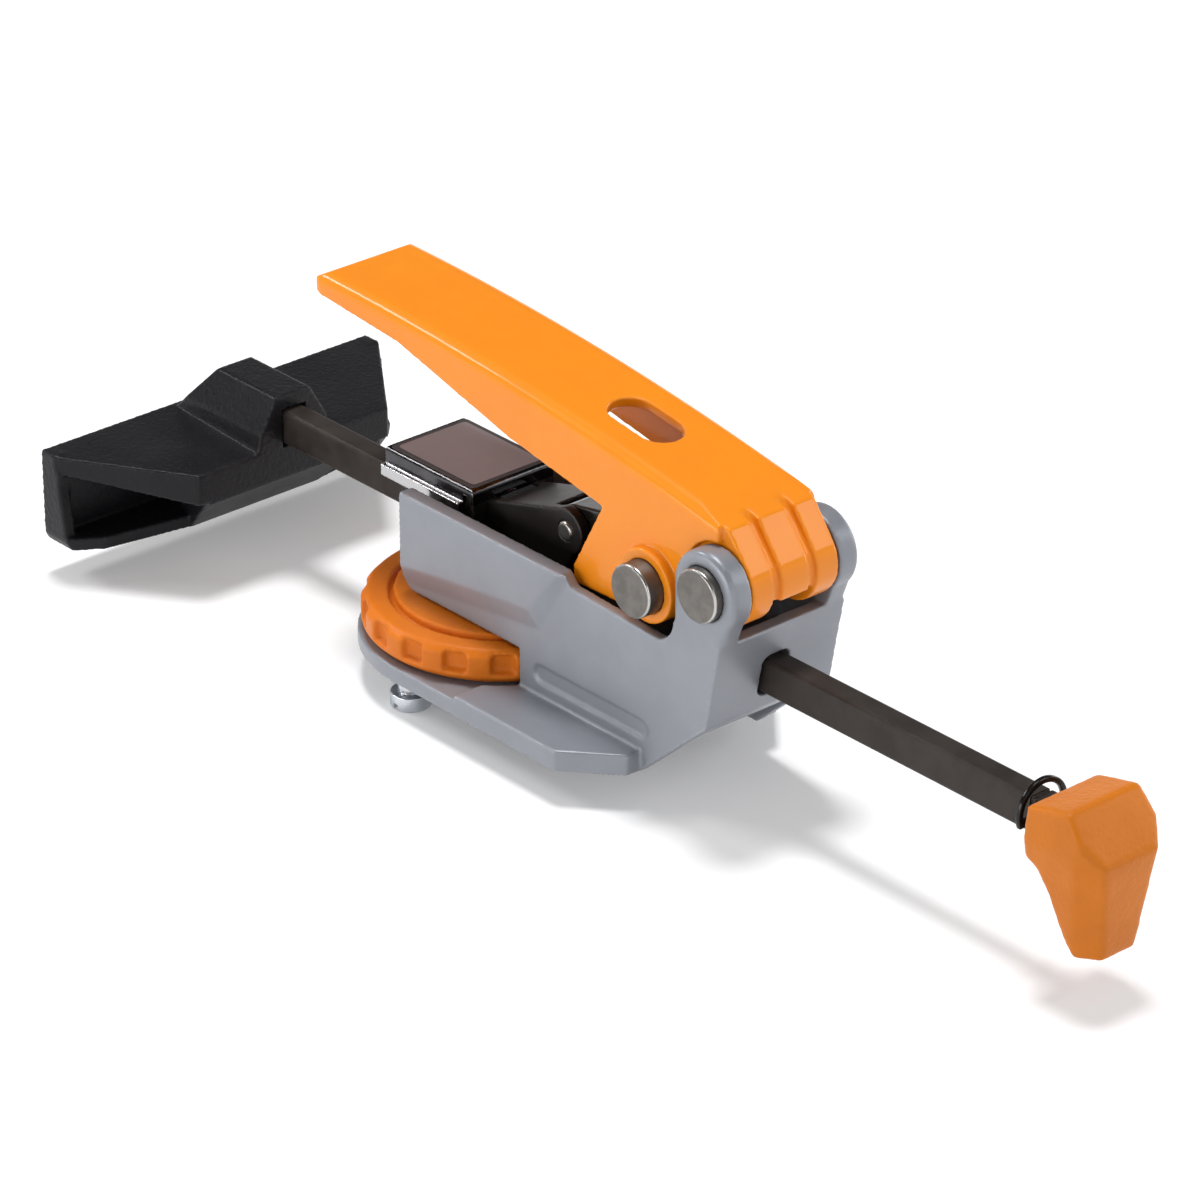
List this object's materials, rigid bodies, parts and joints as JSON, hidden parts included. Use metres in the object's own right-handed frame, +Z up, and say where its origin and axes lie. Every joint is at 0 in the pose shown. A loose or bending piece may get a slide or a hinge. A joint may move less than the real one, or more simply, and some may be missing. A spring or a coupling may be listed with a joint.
{
  "type": "t-track clamp",
  "caption": "In-line push clamp for a T-track: over-centre lever, link and yoke drive a flat rod with a wide foot; thumb wheel tightens a track bolt under the base.",
  "frame": {"origin": "centre of the thumb wheel's bolt at the level of the base's bearing face", "axes": "+X along the push rod towards the rear knob, +Z up out of the bench, +Y across, to the left of someone looking along +X"},
  "size_m": [0.324, 0.104, 0.092],
  "materials": {
    "cast_body": "silver-grey satin paint on a die casting",
    "pin_steel": "dark satin steel with polished rims",
    "zinc_steel": "bright zinc plate",
    "wheel_plastic": "orange moulded plastic with a fine pebble",
    "brass_insert": "turned brass",
    "rod_black": "black oxide with worn edges",
    "foot_plastic": "black spark-textured plastic",
    "spring_black": "black spring steel",
    "lever_paint": "glossy orange powder coat",
    "link_black": "black paint, glossy",
    "yoke_black": "black satin paint",
    "cover_chrome": "bright chrome plate"
  },
  "bodies": {
    "base": {"clamp_body": "cast_body", "pivot_pin": "pin_steel", "guide_studs": "zinc_steel"},
    "wheel": {"thumb_wheel": "wheel_plastic", "wheel_insert": "brass_insert"},
    "bolt": {"track_bolt": "zinc_steel"},
    "rod": {"push_rod": "rod_black", "push_foot": "foot_plastic", "foot_pin": "pin_steel", "rear_knob": "wheel_plastic", "knob_pin": "pin_steel", "retaining_ring": "spring_black"},
    "lever": {"lever": "lever_paint", "link_pin": "pin_steel"},
    "link": {"toggle_link": "link_black"},
    "carriage": {"drive_yoke": "yoke_black", "toggle_pin": "pin_steel", "jam_plate": "spring_black", "jam_spring": "spring_black", "drive_cover": "cover_chrome"},
    "screw": {"force_screw": "zinc_steel"}
  },
  "joints": [
    {"name": "lever_pivot", "type": "hinge", "parent": "base", "child": "lever", "pos_m": [0.0927, 0, 0.054], "axis": [0, 1, 0], "range_deg": [0, 80]},
    {"name": "link_swing", "type": "hinge", "parent": "lever", "child": "link", "pos_m": [0.0705, 0, 0.0467], "axis": [0, 1, 0], "range_deg": [-131, 1]},
    {"name": "yoke_level", "type": "hinge", "parent": "link", "child": "carriage", "pos_m": [0.0324, 0, 0.0433], "axis": [0, 1, 0], "range_deg": [-1, 51]},
    {"name": "rod_slide", "type": "slide", "parent": "base", "child": "rod", "axis": [1, 0, 0], "range_m": [-0.082, 0.048]},
    {"name": "wheel_turn", "type": "hinge", "parent": "base", "child": "wheel", "pos_m": [0, 0, 0.005], "axis": [0, 0, 1], "range_deg": [-540, 360]},
    {"name": "bolt_lift", "type": "slide", "parent": "base", "child": "bolt", "axis": [0, 0, 1], "range_m": [-0.0014, 0.0021]},
    {"name": "screw_turn", "type": "hinge", "parent": "carriage", "child": "screw", "pos_m": [-0.024, 0, 0.0386], "axis": [1, 0, 0], "continuous": true}
  ],
  "couplings": [
    {"joint": "link_swing", "follows": "lever_pivot", "ratio": -1.63},
    {"joint": "yoke_level", "follows": "lever_pivot", "ratio": 0.63},
    {"joint": "bolt_lift", "follows": "wheel_turn", "m_per_rad": -0.00020213}
  ]
}
